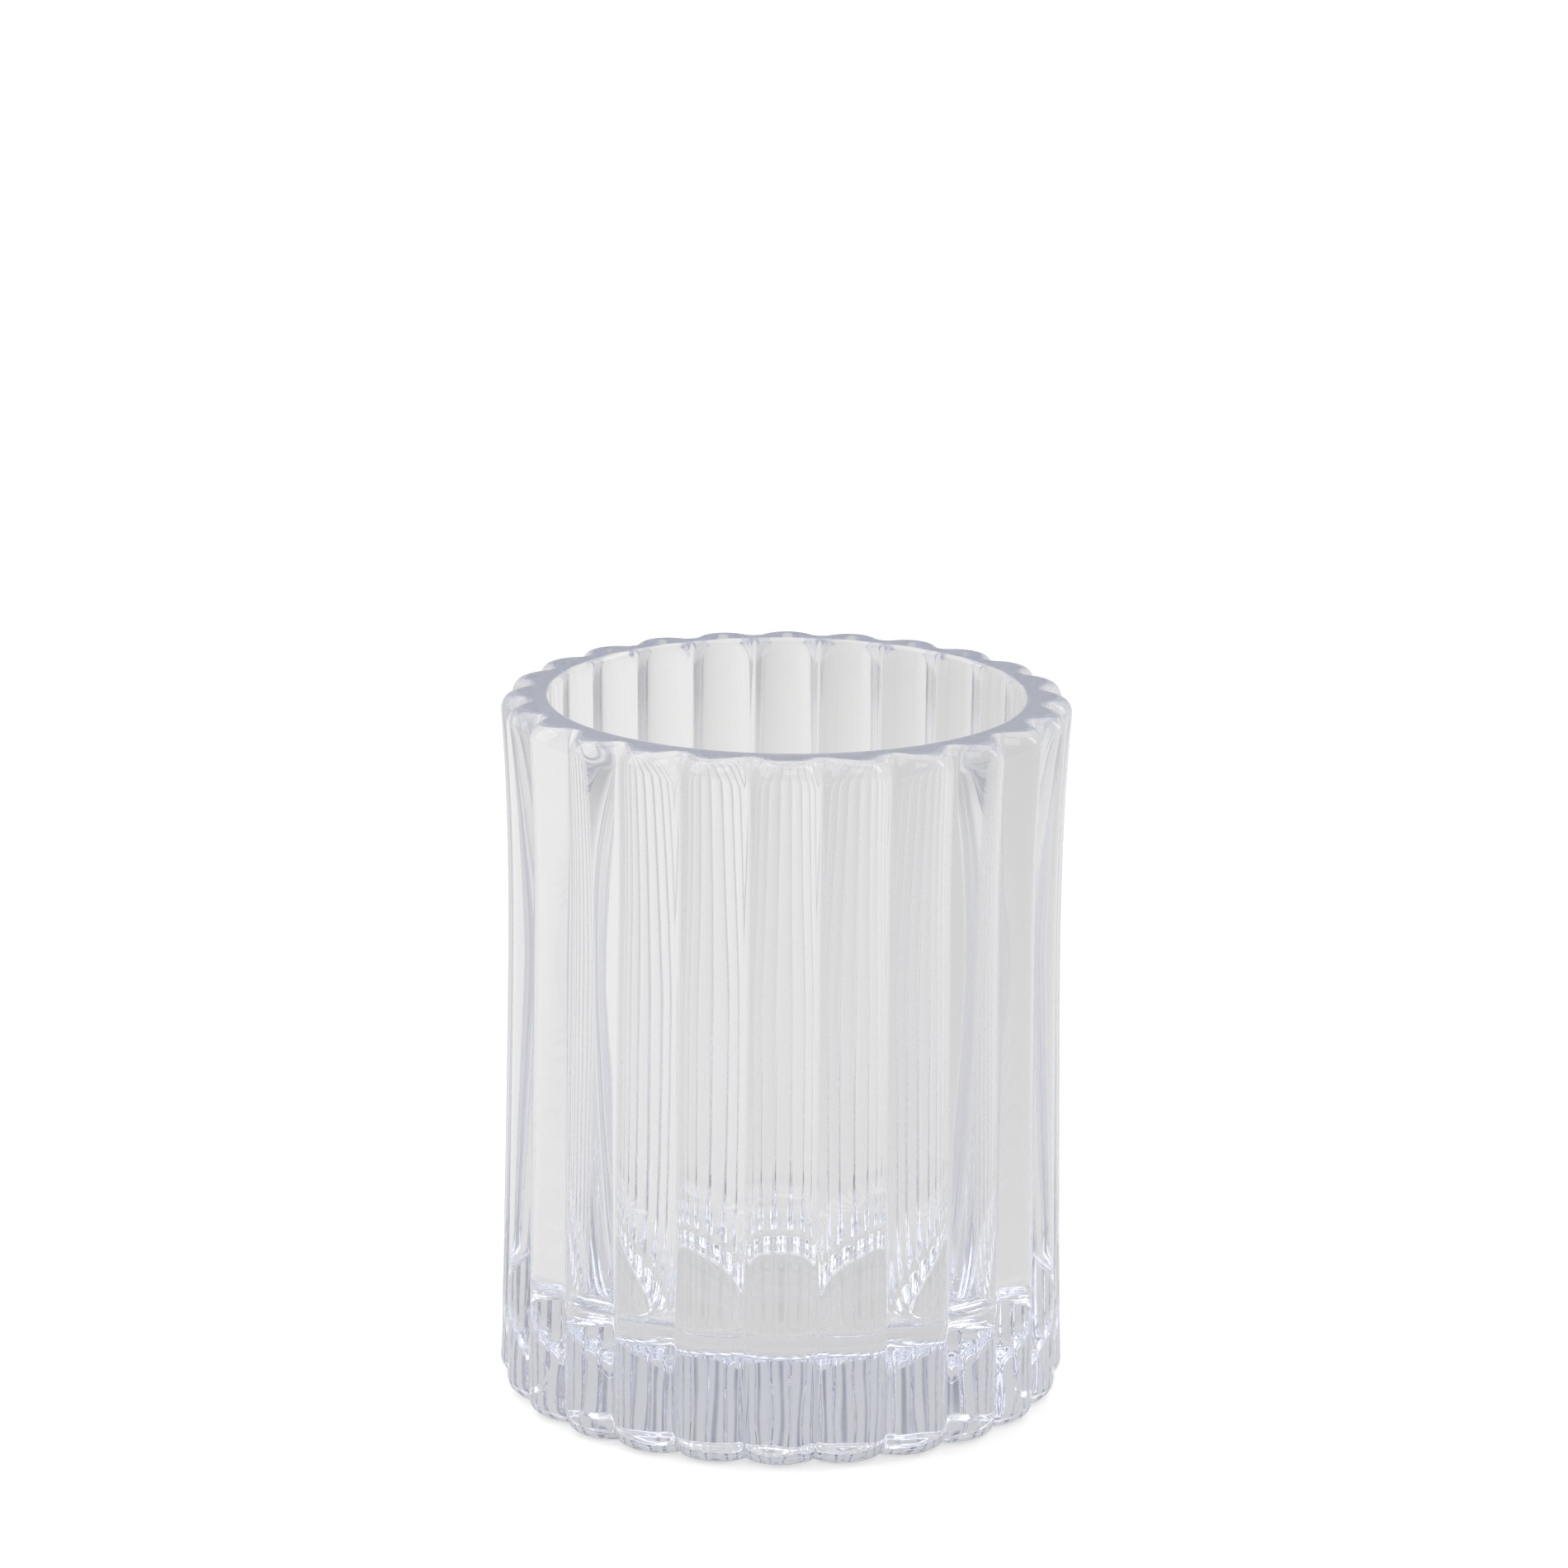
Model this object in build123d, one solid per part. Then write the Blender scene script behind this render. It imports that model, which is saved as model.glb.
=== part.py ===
from build123d import *
import os
from math import cos, pi, radians, sin

# Reeded tealight holder in pressed clear glass: one open-topped tumbler with upright reeds round
# the outside, a plain round cavity inside and a thick solid base.
# Millimetres, +Z up. The origin is the centre of the underside, on the vertical axis.

# ---- driving dimensions -------------------------------------------------------------------------
height = 100.0            # underside to rim
rim_diameter = 80.0       # across opposite reed crests, at the rim
foot_narrowing = 0.1      # how much nearer the axis the crests are at the underside than at the rim
waist_narrowing = 1.15    # the same where the body is slimmest
neck_narrowing = 1.0      # the same where the flare to the rim begins
waist_height = 0.62 * height
neck_height = 0.83 * height

reed_count = 24           # reeds round the outside, one of them facing -Y
reed_overlap = 1.3        # width of a reed's rod over its share of the girth, so neighbours merge
reed_radius = reed_overlap * pi * rim_diameter / reed_count / 2
core_inset = 0.68 * reed_radius   # from the reed crests in to the plain core that they stand round
upright_end = 0.4         # each reed stands upright this far past its rounded ends

wall_thickness = 6.9      # reed crests to cavity, at the rim
mouth_diameter = rim_diameter - 2 * wall_thickness
base_thickness = 12.2     # solid glass under the cavity floor
floor_radius = 8.5        # round between the cavity floor and its wall
lip_width = 0.65          # softened inner edge of the rim

shoulder_radius = 2.6     # round on top of each reed
foot_radius = 2.9         # round under each reed
ring_width = 8.0          # flat ring that the holder stands on, inside the feet of the reeds
hollow_depth = 0.5        # how far the middle of the underside lies above that ring

shoulder_flat_count = 3   # each round is turned as a few flats, which keeps the reeds light
foot_flat_count = 2
floor_flat_count = 4
beyond = 1.0              # how far a cutting shape runs past the face that it opens


def quarter_round(centre, radius, start, flats):
    """Points on a quarter circle about the centre, anticlockwise from the start in degrees."""
    turns = [radians(start + 90 * step / flats) for step in range(flats + 1)]
    return [(centre[0] + radius * cos(turn), centre[1] + radius * sin(turn)) for turn in turns]


def turned(points):
    """Solid of revolution about Z whose half-profile is closed along the axis."""
    bottom = (0, points[0][1])
    top = (0, points[-1][1])
    return revolve(Plane.XZ * make_face(Polyline(bottom, *points, top, close=True)), Axis.Z)


def flank(inset):
    """Points up the side of the body, that far inside the reed crests."""
    narrowings = [foot_narrowing, foot_narrowing, waist_narrowing, neck_narrowing, 0, 0]
    foot = foot_radius + upright_end
    shoulder = height - shoulder_radius - upright_end
    levels = [0, foot, waist_height, neck_height, shoulder, height]
    return [(rim_diameter / 2 - n - inset, level) for n, level in zip(narrowings, levels)]


def reed_end(edge_radius, flats):
    """End of a reed, turned about Z: its foot is at z = 0 and its flat top at z = edge_radius."""
    return turned(quarter_round((reed_radius - edge_radius, 0), edge_radius, 0, flats))


def reed():
    """One reed on the +X side: a rod that follows the flank, with both of its ends rounded."""
    (foot_x, _), *middle, (rim_x, _) = flank(reed_radius)
    foot_z = foot_radius
    rim_z = height - shoulder_radius
    path = Plane.XZ * Polyline((foot_x, foot_z), *middle, (rim_x, rim_z))
    section = Pos(foot_x, 0, foot_z) * Circle(reed_radius)
    rod = sweep(section, path=path, transition=Transition.RIGHT)
    foot = Pos(foot_x, 0, foot_z) * Rot(180, 0, 0) * reed_end(foot_radius, foot_flat_count)
    shoulder = Pos(rim_x, 0, rim_z) * reed_end(shoulder_radius, shoulder_flat_count)
    return rod + foot + shoulder


def reeded_blank():
    """The outside of the holder as a solid: a plain waisted core with the reeds round it."""
    core = turned(flank(core_inset))
    one = reed()
    facing_front = -90
    step = 360 / reed_count
    return core + [Rot(0, 0, facing_front + step * index) * one for index in range(reed_count)]


def cavity():
    """The space that the plunger leaves: round wall, rounded floor and softened lip."""
    mouth = mouth_diameter / 2
    centre = (mouth - floor_radius, base_thickness + floor_radius)
    floor = quarter_round(centre, floor_radius, -90, floor_flat_count)
    lip = [(mouth, height - lip_width), (mouth + lip_width + beyond, height + beyond)]
    return turned(floor + lip)


def underside_hollow():
    """Shallow hollow in the underside, which leaves the ring that the holder stands on."""
    half_width = rim_diameter / 2 - foot_narrowing - core_inset - ring_width
    edge = [(half_width + beyond, -beyond), (half_width - hollow_depth, hollow_depth)]
    return turned(edge)


glass_body = reeded_blank() - cavity() - underside_hollow()
glass_body.label = "glass_body"

os.makedirs("parts", exist_ok=True)
export_step(glass_body, "parts/glass_body.step")
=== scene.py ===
from math import atan2, cos, pi, radians, sin

import bmesh
import bpy
from bpy.props import FloatProperty, FloatVectorProperty, IntProperty, PointerProperty
from mathutils import Matrix, Vector, noise


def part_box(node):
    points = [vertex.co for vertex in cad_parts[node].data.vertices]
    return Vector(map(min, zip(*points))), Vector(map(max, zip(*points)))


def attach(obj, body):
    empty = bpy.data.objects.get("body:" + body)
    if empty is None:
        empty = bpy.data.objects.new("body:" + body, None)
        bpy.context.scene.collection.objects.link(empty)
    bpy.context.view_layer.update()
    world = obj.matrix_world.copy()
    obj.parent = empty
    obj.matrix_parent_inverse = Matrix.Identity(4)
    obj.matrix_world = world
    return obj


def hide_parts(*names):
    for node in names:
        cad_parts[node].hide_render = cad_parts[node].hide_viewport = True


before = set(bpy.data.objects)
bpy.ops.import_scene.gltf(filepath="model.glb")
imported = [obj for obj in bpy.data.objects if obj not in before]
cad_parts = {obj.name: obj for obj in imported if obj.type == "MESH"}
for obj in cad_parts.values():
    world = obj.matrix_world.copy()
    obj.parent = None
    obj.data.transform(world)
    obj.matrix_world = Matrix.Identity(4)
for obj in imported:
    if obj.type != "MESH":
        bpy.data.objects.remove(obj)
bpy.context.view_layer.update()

bl_info = {
    "name": "Reeded tealight holder",
    "version": (1, 0, 0),
    "blender": (4, 5, 0),
    "location": "3D View > Sidebar > Tealight Holder",
    "description": "Builds a reeded tealight holder in pressed clear glass and a plain studio",
    "category": "Object",
}

MM = 0.001
AXIS = Vector((0, 0, 1))
NODE = "glass_body"
BODY = "root"
NODE_LOW, NODE_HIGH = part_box(NODE)
HEIGHT = NODE_HIGH.z - NODE_LOW.z
WIDTH = NODE_HIGH.x - NODE_LOW.x

# curves of the profile: 1 is straight, more keeps close to the waist for longer
FOOT_FLARE = 1.3
RIM_FLARE = 2.3
FOOT_GROOVE_CURVE = 3
SHOULDER_EASE = 0.2  # share of the shoulder's inset that a groove is spared
LIP_START = -0.001  # radians: the lip's round starts a hair before the flat rim
HOLLOW_RAMP = 3  # width of the hollow's sloping edge, in depths of the hollow

# how finely the glass is divided
REED_STEPS = 20
GROOVE_STEPS = 4
WALL_RINGS = 54
SHOULDER_RINGS = 11
LIP_RINGS = 5
CAVITY_RINGS = 28
FLOOR_ROUND_RINGS = 16
FLAT_RINGS = 6
FOOT_RINGS = 11
RAMP_RINGS = 6
CAP_RADIUS = 1.5 * MM
BESIDE = 0.1 * MM  # a ring this close beside a flat face keeps its shading flat

# waves of the ripples: across the wall, and up it
WALL_WAVE = (6 * MM, 70 * MM)
FINER = 2.3  # a second, weaker set on the wall is this many times finer
FINER_SHARE = 0.5
FINER_SHIFT = Vector((7, 3, 1))
FOOT_WAVE = (3.5 * MM, 7 * MM)
FOOT_RIPPLE_TOP = 20 * MM
FLAT_FADE = 4  # the ripples grow from none on a flat face to full at 41 degrees from it

# how much of the noise counts as less polished, from slightly to fully
PATCH_EDGE = (0.45, 0.8)

# the camera: a long lens, turned and tilted by these degrees
CAMERA_PLACE = (0, -920.1 * MM, 326.9 * MM)
SENSOR_WIDTH = 36.0
LENS = 156.38
CAMERA_TURN = 0.017
CAMERA_DIP = 14.614
CAMERA_ROLL = 0.536

# the studio, in metres
FLOOR_RADIUS = 2.5
FLOOR_SIDES = 96
FLOOR_GAP = 0.05 * MM
SWEEP = (0.3, 1.6)  # where the board rises into the white sweep
PAINTED_LIGHT_MIDDLE = (-0.05, 0.2, 0)  # middle of the painted pool of light on the board that the glass bends
# the painted pool of light fades out between these distances from its middle
PAINTED_LIGHT_EDGE = (0.3, 1.1)
PAINTED_SHADOW_EDGE = (0.03, 0.06)  # edge of the painted shadow under the glass, on the floor that the glass bends
ROOM_EDGE = (-0.75, 0.3)  # from the room in front to the backdrop behind
GAP_MIDDLE = (0, 0.967, 0.252)  # direction of the dim gap low in the backdrop
GAP_EDGE = (0.06, 0.17)
LAMP_AIM = (0, 0, 0.05)
BOUNCES = 48  # light crosses many walls of glass before it leaves
GLOSSY_BOUNCES = 32
LAMPS = {  # place, width and height, power
    "soft_light_left": ((-1.3, -0.1, 1.1), (1.8, 1.8), 12.0),
    "soft_light_top": ((0.1, 0.45, 1.5), (2.2, 1.5), 9.0),
    "soft_light_front": ((0.4, -1.1, 1.3), (1.2, 0.9), 5.0),
    "soft_light_right": ((1.4, 0.3, 0.8), (0.4, 1.0), 3.0),
}


# ---- settings -----------------------------------------------------------------------------------
def colour(hex_code):
    """Linear colour from an sRGB hex code such as "C8CDD6"."""
    parts = [int(hex_code[i : i + 2], 16) / 255 for i in (0, 2, 4)]
    return tuple(c / 12.92 if c <= 0.04045 else ((c + 0.055) / 1.055) ** 2.4 for c in parts)


def length(name, description, default):
    """Property for a length, held in metres."""
    return FloatProperty(
        name=name, description=description, default=default, min=0.0, unit="LENGTH", precision=5
    )


def level(name, description, default):
    """Property for a brightness, where 1 is white."""
    return FloatProperty(name=name, description=description, default=default, min=0.0)


def shade(name, description, hex_code):
    """Property for a colour."""
    return FloatVectorProperty(
        name=name, description=description, subtype="COLOR", size=3, default=colour(hex_code),
        min=0.0, max=1.0,
    )


class HolderSizes(bpy.types.PropertyGroup):
    """Sizes of the glass."""

    height: length("Height", "Underside to rim", HEIGHT)
    rim_width: length("Rim width", "Across opposite reed crests at the rim", WIDTH)
    foot_width: length("Foot width", "Across opposite crests at the underside", 79.8 * MM)
    waist_width: length("Waist width", "Across opposite crests at the slimmest place", 77.6 * MM)
    waist_height: length("Waist height", "Height of the slimmest place", 67.0 * MM)
    reed_count: IntProperty(name="Reeds", description="Reeds round the outside", default=24, min=6)
    rim_groove: length("Groove depth at the rim", "Crest to groove at the rim", 2.6 * MM)
    waist_groove: length("Groove depth at the waist", "Crest to groove at the waist", 1.75 * MM)
    foot_groove: length("Groove depth at the foot", "Crest to groove at the underside", 2.3 * MM)
    groove_radius: length("Groove radius", "Round at the bottom of each groove", 0.3 * MM)
    shoulder_radius: length("Shoulder radius", "Round on top of each reed", 2.6 * MM)
    groove_fall: length("Groove fall", "How much lower the shoulder starts in a groove", 2.0 * MM)
    foot_radius: length("Foot radius", "Round under each reed", 2.9 * MM)
    mouth_width: length("Mouth width", "Cavity at the rim", 66.2 * MM)
    floor_width: length("Cavity width low down", "Cavity just above its floor round", 65.4 * MM)
    base_thickness: length("Base thickness", "Solid glass under the cavity", 12.2 * MM)
    floor_rise: length("Floor rise", "Height of the round at the cavity floor", 7.9 * MM)
    floor_reach: length("Floor reach", "Width of the round at the cavity floor", 11.0 * MM)
    lip_radius: length("Lip radius", "Round on the inner edge of the rim", 0.65 * MM)
    hollow_width: length("Hollow width", "Hollow in the underside", 54.8 * MM)
    hollow_depth: length("Hollow depth", "How far the underside is hollowed", 0.5 * MM)
    ripple: length("Ripple", "Height of the long ripples up the wall", 0.025 * MM)
    foot_ripple: length("Foot ripple", "Height of the short ripples round the base", 0.2 * MM)


class GlassFinish(bpy.types.PropertyGroup):
    """Colour and surface of the glass."""

    tint: shade("Tint", "Colour that thick glass takes on", "CFD4E3")
    absorption: FloatProperty(
        name="Absorption", description="How strongly a metre of glass is tinted", default=8.0,
        min=0.0,
    )
    index: FloatProperty(name="Refractive index", description="Soda-lime", default=1.52, min=1.0)
    wave: length("Wave length", "Spacing of the unevenness left by the mould", 9 * MM)
    wave_height: length("Wave height", "Height of that unevenness", 0.02 * MM)
    patch: length("Patch size", "Size of the areas that the flame polished less", 14 * MM)
    roughness: FloatProperty(
        name="Roughness", description="Roughness where it is least polished", default=0.02, min=0.0
    )


class StageLook(bpy.types.PropertyGroup):
    """The plain studio."""

    floor: shade("Floor", "Colour of the floor", "E7E7E7")
    floor_lift: level("Floor lift", "Extra white that the camera sees near the glass", 0.4)
    # painted light on the glowing floor that the glass bends: brighter on the left, darker on the
    # right, as if lit from the left
    left: level("Left", "Floor seen through the glass on the left", 0.87)
    right: level("Right", "Floor seen through the glass on the right", 0.67)
    turn: length("Turn", "Distance over which the middle turns into left or right", 0.25)
    # painted light falloff: that glowing floor is dimmer far from the painted pool of light
    far: level("Far", "How bright the far floor is, next to the near floor", 0.85)
    # painted shadow: the glowing floor that the glass bends is dimmer under the glass
    under: level("Under", "How bright the floor is under the glass", 0.86)
    bent_floor: shade("Bent floor", "Colour of the floor seen through the glass", "FFFEFD")
    room: level("Room", "Brightness of the room in front", 0.32)
    backdrop: level("Backdrop", "Brightness of the backdrop behind", 0.72)
    gap: shade("Gap", "Colour of the dim gap low in the backdrop", "BCC0CB")


# ---- glass body ---------------------------------------------------------------------------------
def crest_radius(sizes, z):
    """Radius of the reed crests at height z: slimmest at the waist, fuller at foot and rim."""
    slim = sizes.waist_width / 2
    if z < sizes.waist_height:
        reach = (sizes.waist_height - z) / sizes.waist_height
        return slim + (sizes.foot_width / 2 - slim) * reach**FOOT_FLARE
    reach = (z - sizes.waist_height) / (sizes.height - sizes.waist_height)
    return slim + (sizes.rim_width / 2 - slim) * reach**RIM_FLARE


def groove_depth(sizes, z):
    """Depth of the grooves at height z: deeper towards the rim and close to the foot."""
    if z < sizes.waist_height:
        reach = (sizes.waist_height - z) / sizes.waist_height
        deeper = sizes.foot_groove - sizes.waist_groove
        return sizes.waist_groove + deeper * reach**FOOT_GROOVE_CURVE
    reach = (z - sizes.waist_height) / (sizes.height - sizes.waist_height)
    return sizes.waist_groove + (sizes.rim_groove - sizes.waist_groove) * reach


class Rings:
    """Grows a closed surface ring by ring from the outline of the reeds.

    Each vertex remembers its place on that outline, and the outline's own normal there.
    """

    def __init__(self, sizes):
        self.sizes = sizes
        self.bm = bmesh.new()
        self.home = self.bm.verts.layers.float_vector.new("home")
        self.out = self.bm.verts.layers.float_vector.new("out")
        self.start(self.outline())

    def start(self, edges):
        """Makes these edges the last ring."""
        self.edges = edges
        self.verts = list({v for e in edges for v in e.verts})

    def outline(self):
        """One reed and one groove, each an arc, repeated all the way round the axis."""
        bm, s = self.bm, self.sizes
        crest = s.rim_width / 2
        half_step = pi / s.reed_count
        # the two arcs touch, and each one's middle is on its own radius of the holder
        groove_reach = crest - s.rim_groove + s.groove_radius
        reach = crest + s.groove_radius
        reed_middle = (reach**2 - groove_reach**2) / (2 * (reach - groove_reach * cos(half_step)))
        reed_centre = Vector((reed_middle, 0, 0))
        reed_radius = crest - reed_middle
        groove_centre = Vector((groove_reach * cos(half_step), groove_reach * sin(half_step), 0))
        lean = atan2(groove_centre.y, groove_centre.x - reed_middle)
        top = reed_radius * sin(lean)
        first = bm.verts.new((reed_middle + reed_radius * cos(lean), -top, 0))
        bmesh.ops.spin(
            bm, geom=[first], cent=reed_centre, axis=AXIS, angle=2 * lean, steps=REED_STEPS,
            use_merge=False,
        )
        last = max(bm.verts, key=lambda v: v.co.y)
        bmesh.ops.spin(
            bm, geom=[last], cent=groove_centre, axis=-AXIS, angle=2 * (lean - half_step),
            steps=GROOVE_STEPS, use_merge=False,
        )
        for v in bm.verts:
            # both bounds leave a little to spare for rounding
            in_groove = (v.co - groove_centre).length < 1.01 * s.groove_radius
            if v.co.y <= top + 1e-9 and not in_groove:
                v[self.out] = (v.co - reed_centre).normalized()
            else:
                v[self.out] = (groove_centre - v.co).normalized()
        self.turn(bm.verts, -pi / 2)
        reed = bm.verts[:] + bm.edges[:]
        for index in range(1, s.reed_count):
            copy = bmesh.ops.duplicate(bm, geom=reed)["geom"]
            self.turn([g for g in copy if isinstance(g, bmesh.types.BMVert)], 2 * half_step * index)
        bmesh.ops.remove_doubles(bm, verts=bm.verts, dist=0.001 * MM)
        for v in bm.verts:
            v[self.home] = v.co
        return bm.edges[:]

    def turn(self, verts, angle):
        """Turns vertices and their outline normals about the axis."""
        turn = Matrix.Rotation(angle, 3, "Z")
        bmesh.ops.rotate(self.bm, verts=verts, cent=(0, 0, 0), matrix=turn)
        for v in verts:
            v[self.out] = turn @ v[self.out]

    def grow(self):
        """A new ring of edges joined to the last one by faces."""
        grown = bmesh.ops.extrude_edge_only(self.bm, edges=self.edges)["geom"]
        self.verts = [g for g in grown if isinstance(g, bmesh.types.BMVert)]
        self.edges = [g for g in grown if isinstance(g, bmesh.types.BMEdge)]

    def reeded(self, z, inset=0.0, rolled=1.0, fall=0.0, ease=0.0):
        """Puts the last ring at height z with the outline of the reeds, drawn in by the inset.

        The inset follows the outline's own normals where rolled is 1, which widens the grooves,
        and points at the axis where it is 0, which keeps them crisp. In a groove the vertex goes
        down by the fall, and its inset is less by the share called ease.
        """
        s = self.sizes
        rim = s.rim_width / 2
        for v in self.verts:
            home = v[self.home]
            along = home.normalized()
            low = (rim - home.length) / s.rim_groove
            height = z - fall * low
            radius = crest_radius(s, height) - low * groove_depth(s, height)
            inwards = along.lerp(v[self.out], rolled) * inset * (1 - ease * low)
            v.co = along * radius - inwards
            v.co.z = height

    def round(self, z, radius):
        """Puts the last ring at height z as a circle."""
        for v in self.verts:
            v.co = v[self.home].normalized() * radius
            v.co.z = z

    def flat(self, z, radius):
        """Closes the surface with a flat disc at height z."""
        for inner in [radius - BESIDE] + spread(radius, CAP_RADIUS, FLAT_RINGS):
            self.grow()
            self.round(z, inner)
        bmesh.ops.contextual_create(self.bm, geom=self.edges)


def spread(low, high, count):
    """That many values from low to high, the first left out."""
    return [low + (high - low) * index / count for index in range(1, count + 1)]


def grow_outside(rings, s):
    """Up the outside from the foot round, and over the tops of the reeds."""
    wall_top = s.height - s.shoulder_radius
    rings.reeded(s.foot_radius)
    for z in spread(s.foot_radius, wall_top, WALL_RINGS):
        rings.grow()
        rings.reeded(z, fall=s.groove_fall * (z - s.foot_radius) / (wall_top - s.foot_radius))
    for turn in spread(0, pi / 2, SHOULDER_RINGS):
        below = 1 - sin(turn)
        inset = s.shoulder_radius * (1 - cos(turn))
        rings.grow()
        rings.reeded(
            s.height - s.shoulder_radius * below, inset, fall=s.groove_fall * below,
            ease=SHOULDER_EASE,
        )
    rings.grow()
    rings.reeded(s.height, s.shoulder_radius + BESIDE, ease=SHOULDER_EASE)


def grow_cavity(rings, s):
    """Across the flat rim, round its inner edge, down the cavity and across its floor."""
    mouth = s.mouth_width / 2
    low = s.floor_width / 2
    wall_top = s.height - s.lip_radius
    wall_foot = s.base_thickness + s.floor_rise
    rings.grow()
    rings.round(s.height, mouth + s.lip_radius + BESIDE)
    for turn in spread(LIP_START, pi / 2, LIP_RINGS):
        rings.grow()
        rings.round(
            s.height - s.lip_radius * (1 - cos(turn)), mouth + s.lip_radius * (1 - sin(turn))
        )
    for z in spread(wall_top, wall_foot, CAVITY_RINGS):
        rings.grow()
        rings.round(z, low + (mouth - low) * (z - wall_foot) / (s.height - wall_foot))
    for turn in spread(0, pi / 2, FLOOR_ROUND_RINGS):
        rings.grow()
        rings.round(wall_foot - s.floor_rise * sin(turn), low - s.floor_reach * (1 - cos(turn)))
    rings.flat(s.base_thickness, low - s.floor_reach)


def grow_underside(rings, s):
    """Round the foot of each reed, across the resting ring and into the shallow hollow."""
    for turn in spread(0, pi / 2, FOOT_RINGS):
        rings.grow()
        rings.reeded(s.foot_radius * (1 - sin(turn)), s.foot_radius * (1 - cos(turn)), rolled=0.0)
    hollow = s.hollow_width / 2
    ramp = HOLLOW_RAMP * s.hollow_depth
    rings.grow()
    rings.reeded(0, s.foot_radius + BESIDE, rolled=0.0)
    rings.grow()
    rings.round(0, hollow + ramp / 2 + BESIDE)
    for share in spread(0, 1, RAMP_RINGS):
        rings.grow()
        rings.round(s.hollow_depth * share**2 * (3 - 2 * share), hollow + ramp * (0.5 - share))
    rings.flat(s.hollow_depth, hollow - ramp / 2)


def build_glass(sizes):
    """Mesh of the glass: underside, reeded wall, rim and cavity in one closed surface."""
    rings = Rings(sizes)
    foot = rings.edges
    grow_outside(rings, sizes)
    grow_cavity(rings, sizes)
    rings.start(foot)
    grow_underside(rings, sizes)
    bmesh.ops.recalc_face_normals(rings.bm, faces=rings.bm.faces)
    return rings.bm


def wave(place, across, up):
    """The place in a noise whose waves are that long across the wall and up it."""
    return Vector((place.x / across, place.y / across, place.z / up))


def ripple(bm, sizes):
    """Faint ripples: each point moves along its normal by noise.

    Long ripples run up the whole wall. The thick base, which cools last, has shorter and higher
    ones. The flat rim and underside keep flat.
    """
    bm.normal_update()
    moves = []
    for v in bm.verts:
        at = wave(v.co, *WALL_WAVE)
        long = noise.noise(at) + FINER_SHARE * noise.noise(at * FINER + FINER_SHIFT)
        short = 0.0
        if v.normal.z > -0.9:  # the flat underside has none
            short = max(0.0, 1 - v.co.z / FOOT_RIPPLE_TOP) * noise.noise(wave(v.co, *FOOT_WAVE))
        upright = min(1.0, FLAT_FADE * (1 - abs(v.normal.z)))
        moves.append(v.normal * (long * sizes.ripple + short * sizes.foot_ripple) * upright)
    for v, move in zip(bm.verts, moves):
        v.co += move


def finish_mesh(bm, name, body, material, stands_for):
    """A mesh object from the bmesh, smooth shaded and tied to its body."""
    mesh = bpy.data.meshes.new(name)
    for layer in list(bm.verts.layers.float_vector.values()):
        bm.verts.layers.float_vector.remove(layer)
    bm.to_mesh(mesh)
    bm.free()
    for face in mesh.polygons:
        face.use_smooth = True
    mesh.materials.append(material)
    piece = bpy.data.objects.new(name, mesh)
    bpy.context.scene.collection.objects.link(piece)
    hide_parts(stands_for)
    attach(piece, body)
    return piece


# ---- materials ----------------------------------------------------------------------------------
def node(tree, kind, links=(), values=(), **settings):
    """Adds a node and sets it up.

    Settings name the node's own attributes or its inputs, values are (input number, value) pairs
    for inputs that share a name, and links are (socket, input) pairs.
    """
    made = tree.nodes.new(kind)
    for name, value in settings.items():
        if hasattr(made, name):
            setattr(made, name, value)
        else:
            made.inputs[name.replace("_", " ")].default_value = value
    for number, value in values:
        made.inputs[number].default_value = value
    for socket, name in links:
        tree.links.new(socket, made.inputs[name])
    return made


def new_material(name):
    """An empty material and its node tree."""
    material = bpy.data.materials.new(name)
    material.use_nodes = True
    material.node_tree.nodes.clear()
    return material, material.node_tree


def pressed_glass(finish):
    """Clear soda-lime glass, pressed in an iron mould and fire-polished.

    It is clear, very glossy and faintly grey-blue where it is thick. The bump is the slight
    unevenness that the chill of the mould leaves, which makes lines seen through it waver, and the
    roughness varies a little where the flame polished it less.
    """
    material, tree = new_material("pressed_soda_lime_glass")
    place = node(tree, "ShaderNodeTexCoord").outputs["Object"]
    chill = node(
        tree, "ShaderNodeTexNoise", links=[(place, "Vector")], Scale=1 / finish.wave, Detail=1.0
    )
    uneven = node(
        tree, "ShaderNodeBump", links=[(chill.outputs[0], "Height")], Strength=1.0,
        Distance=finish.wave_height,
    )
    patches = node(
        tree, "ShaderNodeTexNoise", links=[(place, "Vector")], Scale=1 / finish.patch, Detail=1.0
    )
    polish = node(
        tree, "ShaderNodeMapRange", links=[(patches.outputs[0], "Value")],
        From_Min=PATCH_EDGE[0], From_Max=PATCH_EDGE[1], To_Min=0.0, To_Max=finish.roughness,
    )
    shader = node(
        tree, "ShaderNodeBsdfPrincipled",
        links=[(uneven.outputs[0], "Normal"), (polish.outputs[0], "Roughness")],
        Base_Color=(*colour("FFFFFF"), 1), IOR=finish.index, Transmission_Weight=1.0,
    )
    depth = node(
        tree, "ShaderNodeVolumeAbsorption", Color=(*finish.tint, 1), Density=finish.absorption
    )
    node(
        tree, "ShaderNodeOutputMaterial",
        links=[(shader.outputs["BSDF"], "Surface"), (depth.outputs["Volume"], "Volume")],
    )
    return material


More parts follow.
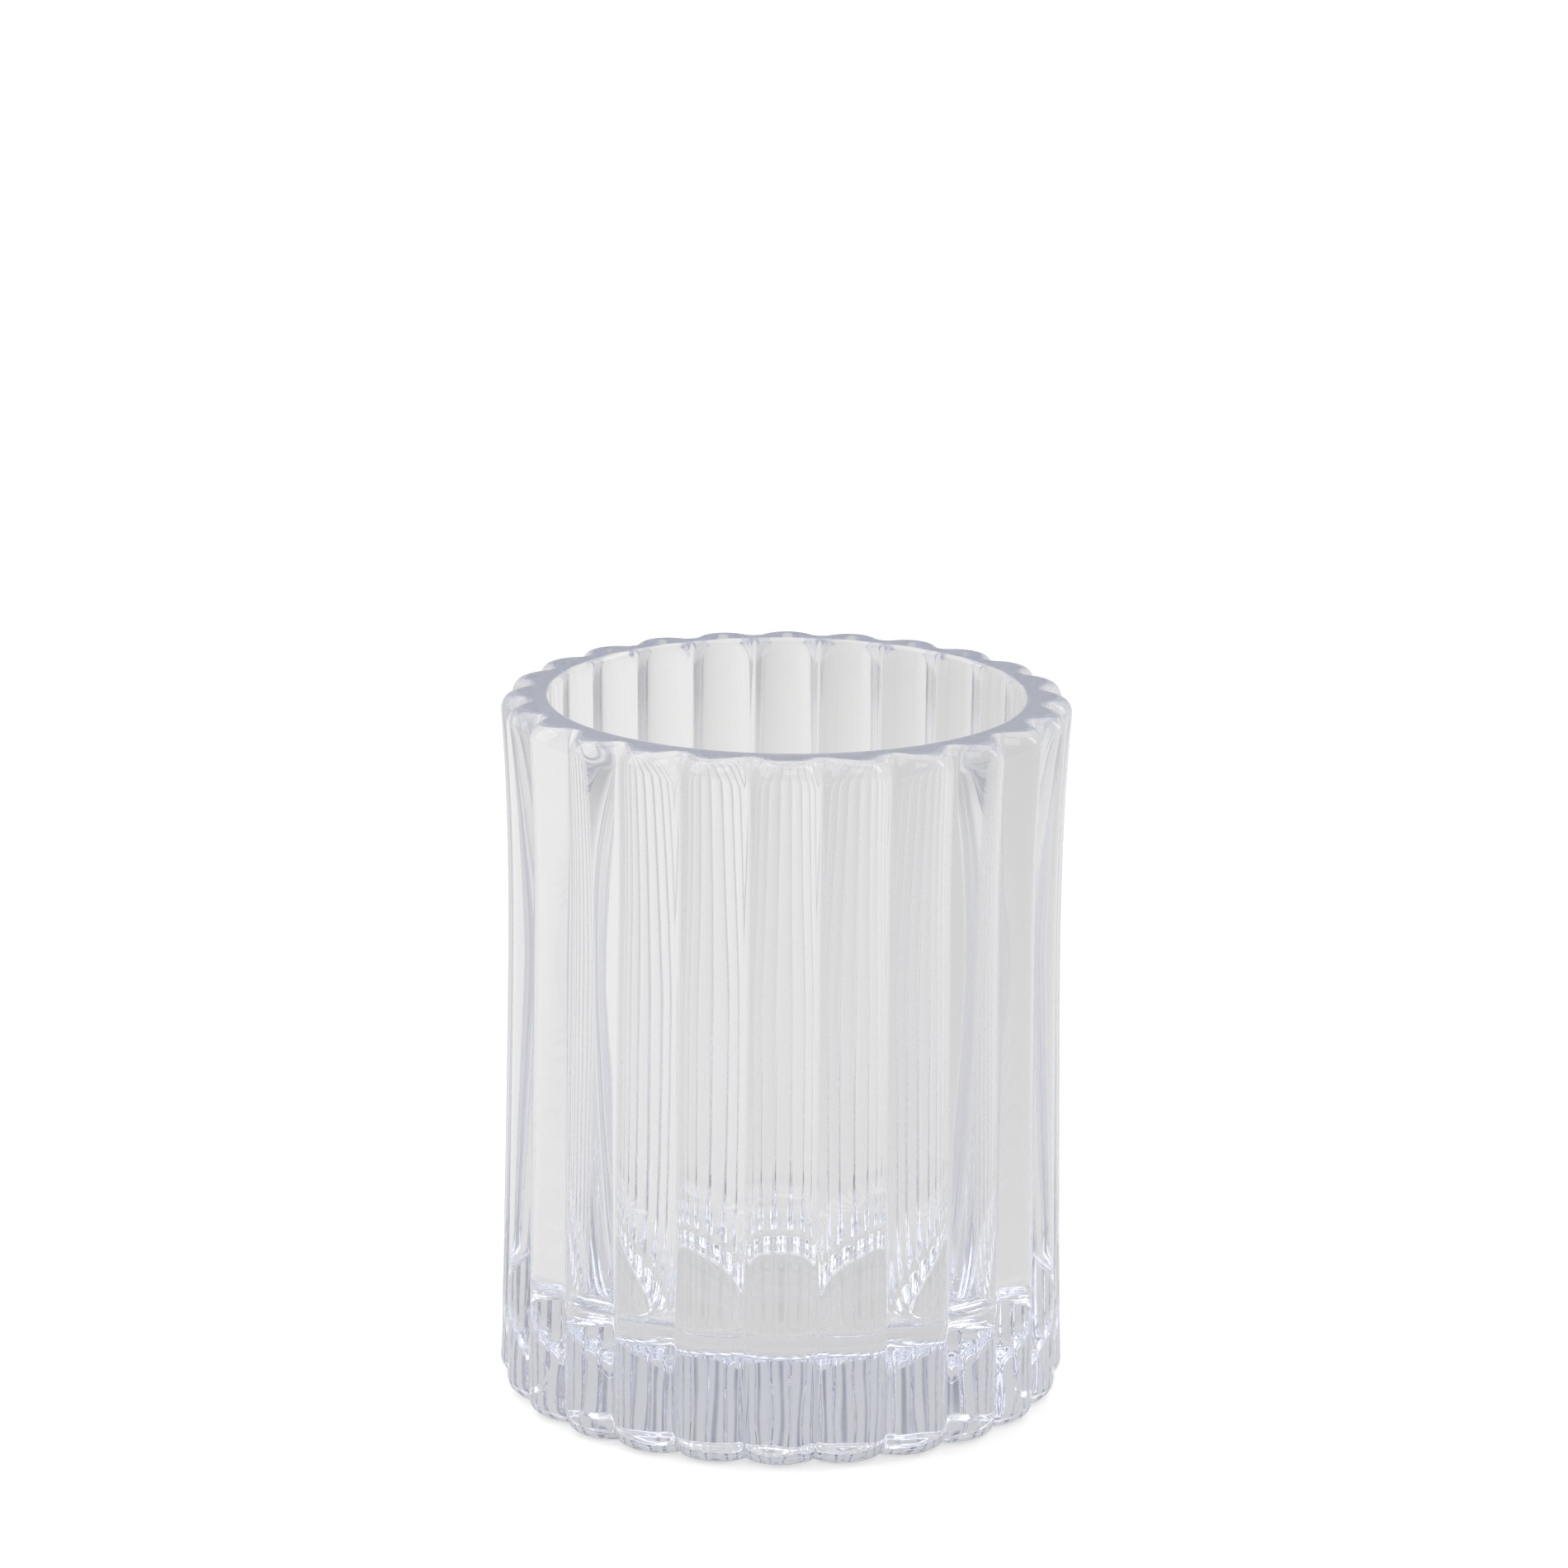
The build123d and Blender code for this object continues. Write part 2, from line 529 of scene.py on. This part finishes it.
def studio_floor(look):
    """Matt white board.

    To the camera it is white, keeps the shadow of the glass and rises into a white sweep. The
    glass bends a plainer board that glows, with painted light on it: brighter on the left than on
    the right as if lit from the left, a little dimmer far off, and a painted shadow under the
    glass.
    """
    material, tree = new_material("matt_white_board")
    path = node(tree, "ShaderNodeLightPath")
    place = node(tree, "ShaderNodeTexCoord").outputs["Object"]
    near = node(tree, "ShaderNodeVectorMath", links=[(place, 0)], operation="LENGTH")
    sweep = node(
        tree, "ShaderNodeMapRange", links=[(near.outputs["Value"], "Value")],
        interpolation_type="SMOOTHSTEP", From_Min=SWEEP[0], From_Max=SWEEP[1],
        To_Min=look.floor_lift, To_Max=1.0,
    )
    lift = node(
        tree, "ShaderNodeMath", links=[(path.outputs["Is Camera Ray"], 0), (sweep.outputs[0], 1)],
        operation="MULTIPLY",
    )
    board = node(tree, "ShaderNodeBsdfDiffuse", Color=(*look.floor, 1))
    white = node(
        tree, "ShaderNodeEmission", links=[(lift.outputs[0], "Strength")],
        Color=(*colour("FFFFFF"), 1),
    )
    seen = node(
        tree, "ShaderNodeAddShader", links=[(board.outputs[0], 0), (white.outputs[0], 1)]
    )
    across = node(tree, "ShaderNodeSeparateXYZ", links=[(place, 0)])
    # painted light: brighter on the left than on the right
    painted_side_light = node(
        tree, "ShaderNodeMapRange", links=[(across.outputs["X"], "Value")],
        interpolation_type="SMOOTHSTEP", From_Min=-look.turn, From_Max=look.turn,
        To_Min=look.left, To_Max=look.right,
    )
    # painted pool of light, dimmer far from its middle
    from_painted_pool = node(
        tree, "ShaderNodeVectorMath", links=[(place, 0)], values=[(1, PAINTED_LIGHT_MIDDLE)],
        operation="DISTANCE",
    )
    far = node(
        tree, "ShaderNodeMapRange", links=[(from_painted_pool.outputs["Value"], "Value")],
        interpolation_type="SMOOTHSTEP", From_Min=PAINTED_LIGHT_EDGE[0], From_Max=PAINTED_LIGHT_EDGE[1],
        To_Min=1.0, To_Max=look.far,
    )
    # painted shadow under the glass
    under = node(
        tree, "ShaderNodeMapRange", links=[(near.outputs["Value"], "Value")],
        interpolation_type="SMOOTHSTEP", From_Min=PAINTED_SHADOW_EDGE[0], From_Max=PAINTED_SHADOW_EDGE[1],
        To_Min=look.under, To_Max=1.0,
    )
    # the painted light from the left and its painted falloff together
    painted_light_floor = node(
        tree, "ShaderNodeMath", links=[(painted_side_light.outputs[0], 0), (far.outputs[0], 1)],
        operation="MULTIPLY",
    )
    # the painted light together with the painted shadow under the glass
    painted_floor_light = node(
        tree, "ShaderNodeMath", links=[(painted_light_floor.outputs[0], 0), (under.outputs[0], 1)],
        operation="MULTIPLY",
    )
    # the floor that the glass bends glows with this painted light and painted shadow
    bent = node(
        tree, "ShaderNodeEmission", links=[(painted_floor_light.outputs[0], "Strength")],
        Color=(*look.bent_floor, 1),
    )
    mixed = node(
        tree, "ShaderNodeMixShader",
        links=[
            (path.outputs["Is Transmission Ray"], 0), (seen.outputs[0], 1), (bent.outputs[0], 2),
        ],
    )
    node(tree, "ShaderNodeOutputMaterial", links=[(mixed.outputs[0], "Surface")])
    return material


# ---- stage --------------------------------------------------------------------------------------
def area_light(name, place, size, power):
    """Soft rectangular lamp at the place, facing the glass."""
    lamp = bpy.data.lights.new(name, "AREA")
    lamp.shape = "RECTANGLE"
    lamp.size, lamp.size_y = size
    lamp.energy = power
    lamp.color = colour("FFFFFF")
    thing = bpy.data.objects.new(name, lamp)
    thing.location = place
    facing = Vector(LAMP_AIM) - Vector(place)
    thing.rotation_euler = facing.to_track_quat("-Z", "Y").to_euler()
    bpy.context.scene.collection.objects.link(thing)


def studio_world(look):
    """White to the camera. The glass bends a pale backdrop behind, with a dim gap low in it, and a
    darker room in front."""
    world = bpy.data.worlds.new("studio")
    bpy.context.scene.world = world
    world.use_nodes = True
    tree = world.node_tree
    tree.nodes.clear()
    white = (*colour("FFFFFF"), 1)
    direction = node(tree, "ShaderNodeTexCoord").outputs["Generated"]
    parts = node(tree, "ShaderNodeSeparateXYZ", links=[(direction, 0)])
    back = node(
        tree, "ShaderNodeMapRange", links=[(parts.outputs["Y"], "Value")],
        interpolation_type="SMOOTHSTEP", From_Min=ROOM_EDGE[0], From_Max=ROOM_EDGE[1],
        To_Min=look.room, To_Max=look.backdrop,
    )
    from_gap = node(
        tree, "ShaderNodeVectorMath", links=[(direction, 0)], values=[(1, GAP_MIDDLE)],
        operation="DISTANCE",
    )
    gap = node(
        tree, "ShaderNodeMapRange", links=[(from_gap.outputs["Value"], "Value")],
        interpolation_type="SMOOTHSTEP", From_Min=GAP_EDGE[0], From_Max=GAP_EDGE[1],
    )
    tone = node(
        tree, "ShaderNodeMix", links=[(gap.outputs[0], "Factor")],
        values=[(6, (*look.gap, 1)), (7, white)], data_type="RGBA",
    )
    soft = node(
        tree, "ShaderNodeBackground",
        links=[(back.outputs[0], "Strength"), (tone.outputs[2], "Color")],
    )
    plain = node(tree, "ShaderNodeBackground", Color=white, Strength=1.0)
    path = node(tree, "ShaderNodeLightPath")
    mixed = node(
        tree, "ShaderNodeMixShader",
        links=[(path.outputs["Is Camera Ray"], 0), (soft.outputs[0], 1), (plain.outputs[0], 2)],
    )
    node(tree, "ShaderNodeOutputWorld", links=[(mixed.outputs[0], "Surface")])


def studio_camera():
    """Long lens a little above the holder, turned slightly in its mount."""
    data = bpy.data.cameras.new("camera")
    data.sensor_width = SENSOR_WIDTH
    data.lens = LENS
    camera = bpy.data.objects.new("camera", data)
    turn = Matrix.Rotation(radians(CAMERA_TURN), 4, "Z")
    tilt = Matrix.Rotation(radians(90 - CAMERA_DIP), 4, "X")
    roll = Matrix.Rotation(radians(CAMERA_ROLL), 4, "Z")
    camera.matrix_world = Matrix.Translation(CAMERA_PLACE) @ turn @ tilt @ roll
    bpy.context.scene.collection.objects.link(camera)
    bpy.context.scene.camera = camera


# ---- operators ----------------------------------------------------------------------------------
class HOLDER_OT_glass_body(bpy.types.Operator):
    """Build the glass: reeded outside, rim, cavity and base in one piece"""

    bl_idname = "holder.glass_body"
    bl_label = "Glass Body"

    def execute(self, context):
        scene = context.scene
        bm = build_glass(scene.holder_sizes)
        ripple(bm, scene.holder_sizes)
        glass = pressed_glass(scene.holder_finish)
        finish_mesh(bm, "pressed_glass", BODY, glass, NODE)
        return {"FINISHED"}


class HOLDER_OT_stage(bpy.types.Operator):
    """Set up the floor, the soft lights and the camera"""

    bl_idname = "holder.stage"
    bl_label = "Stage"

    def execute(self, context):
        scene = context.scene
        look = scene.holder_stage
        bm = bmesh.new()
        bmesh.ops.create_circle(bm, cap_ends=True, segments=FLOOR_SIDES, radius=FLOOR_RADIUS)
        bmesh.ops.translate(bm, verts=bm.verts, vec=(0, 0, -FLOOR_GAP))
        mesh = bpy.data.meshes.new("floor")
        bm.to_mesh(mesh)
        bm.free()
        mesh.materials.append(studio_floor(look))
        floor = bpy.data.objects.new("floor", mesh)
        scene.collection.objects.link(floor)
        studio_world(look)
        for name, (place, size, power) in LAMPS.items():
            area_light(name, place, size, power)
        studio_camera()
        scene.view_settings.view_transform = "Standard"
        scene.cycles.max_bounces = BOUNCES
        scene.cycles.transmission_bounces = BOUNCES
        scene.cycles.glossy_bounces = GLOSSY_BOUNCES
        return {"FINISHED"}


class HOLDER_PT_panel(bpy.types.Panel):
    """Sizes, finish and the build buttons"""

    bl_idname = "HOLDER_PT_panel"
    bl_label = "Tealight Holder"
    bl_space_type = "VIEW_3D"
    bl_region_type = "UI"
    bl_category = "Tealight Holder"

    def draw(self, context):
        for group_name in GROUPS:
            group = getattr(context.scene, group_name)
            box = self.layout.box()
            for name in group.__annotations__:
                box.prop(group, name)
        for operator in OPERATORS:
            self.layout.operator(operator.bl_idname)


GROUPS = {"holder_sizes": HolderSizes, "holder_finish": GlassFinish, "holder_stage": StageLook}
OPERATORS = (HOLDER_OT_glass_body, HOLDER_OT_stage)
CLASSES = (*GROUPS.values(), *OPERATORS, HOLDER_PT_panel)


def register():
    for kind in CLASSES:
        bpy.utils.register_class(kind)
    for name, kind in GROUPS.items():
        setattr(bpy.types.Scene, name, PointerProperty(type=kind))


def unregister():
    for name in GROUPS:
        delattr(bpy.types.Scene, name)
    for kind in reversed(CLASSES):
        bpy.utils.unregister_class(kind)


def main():
    register()
    bpy.ops.holder.glass_body()
    bpy.ops.holder.stage()


if __name__ == "__main__":
    main()
